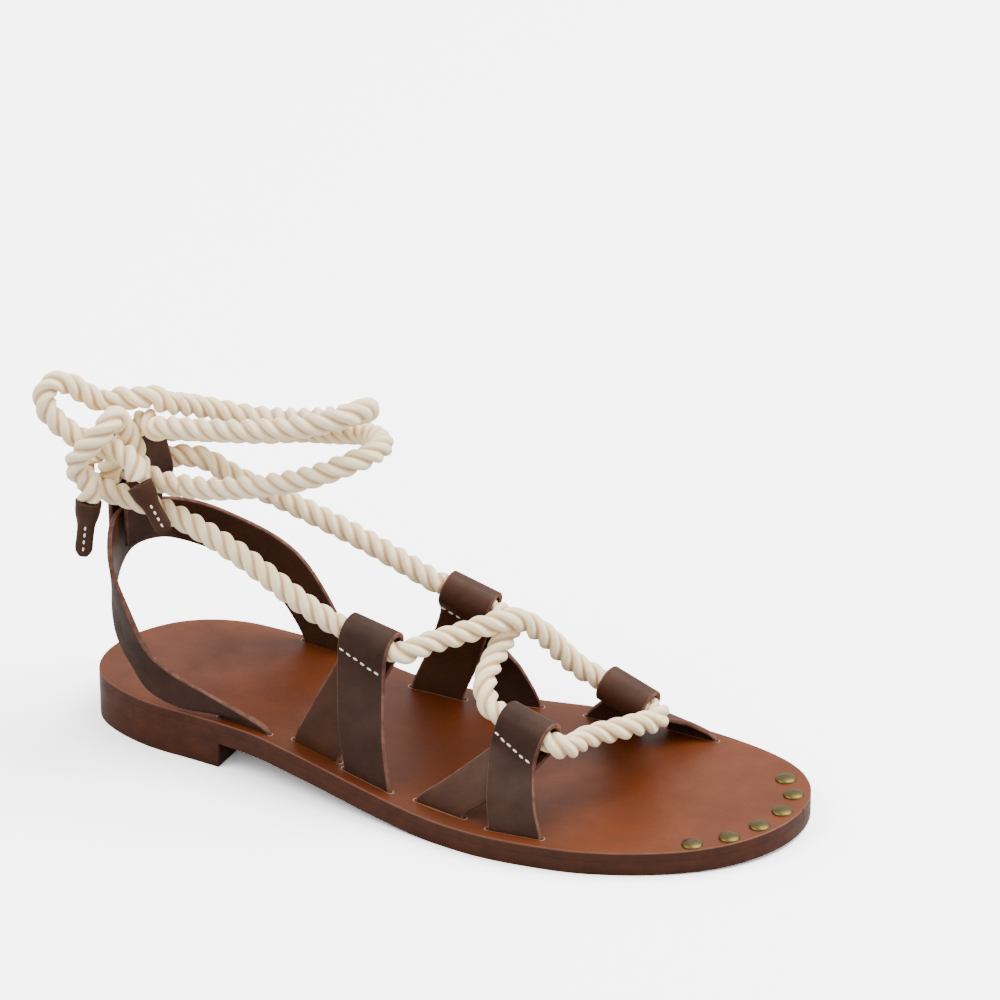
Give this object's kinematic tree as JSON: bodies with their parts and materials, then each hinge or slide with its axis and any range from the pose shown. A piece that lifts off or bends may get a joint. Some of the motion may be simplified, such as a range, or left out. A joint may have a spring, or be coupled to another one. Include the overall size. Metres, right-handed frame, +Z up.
{
  "type": "rope sandal",
  "caption": "Flat leather sandal for the right foot with a low heel, folded strap loops laced with thick cotton rope, a heel strap and a rope tie round the ankle.",
  "frame": {"origin": "on the floor, halfway along the sole and halfway across it at its widest", "axes": "+X to the toe, +Y to the inner (medial) side of a right foot, +Z up"},
  "size_m": [0.2601, 0.096, 0.1337],
  "materials": {
    "edge_leather": "brown painted edge, satin",
    "insole_leather": "cognac leather, satin",
    "strap_leather": "dark brown leather, raw edges",
    "cotton_rope": "natural three-strand twisted cotton",
    "old_brass": "antique, satin"
  },
  "bodies": {
    "root": {"outsole": "edge_leather", "heel": "edge_leather", "insole": "insole_leather", "strap_loop_outer_rear": "strap_leather", "strap_loop_outer_front": "strap_leather", "strap_loop_inner_rear": "strap_leather", "strap_loop_inner_front": "strap_leather", "heel_strap": "strap_leather", "heel_tab": "strap_leather", "rivet_1": "old_brass", "rivet_2": "old_brass", "rivet_3": "old_brass", "rivet_4": "old_brass", "rivet_5": "old_brass", "rivet_6": "old_brass", "rope_lacing": "cotton_rope", "rope_span_outer": "cotton_rope", "rope_span_inner": "cotton_rope", "rope_winding_lower": "cotton_rope", "rope_winding_upper": "cotton_rope", "rope_bow": "cotton_rope", "rope_wrap": "cotton_rope", "rope_tip_lower": "strap_leather", "rope_tip_upper": "strap_leather"}
  },
  "joints": []
}
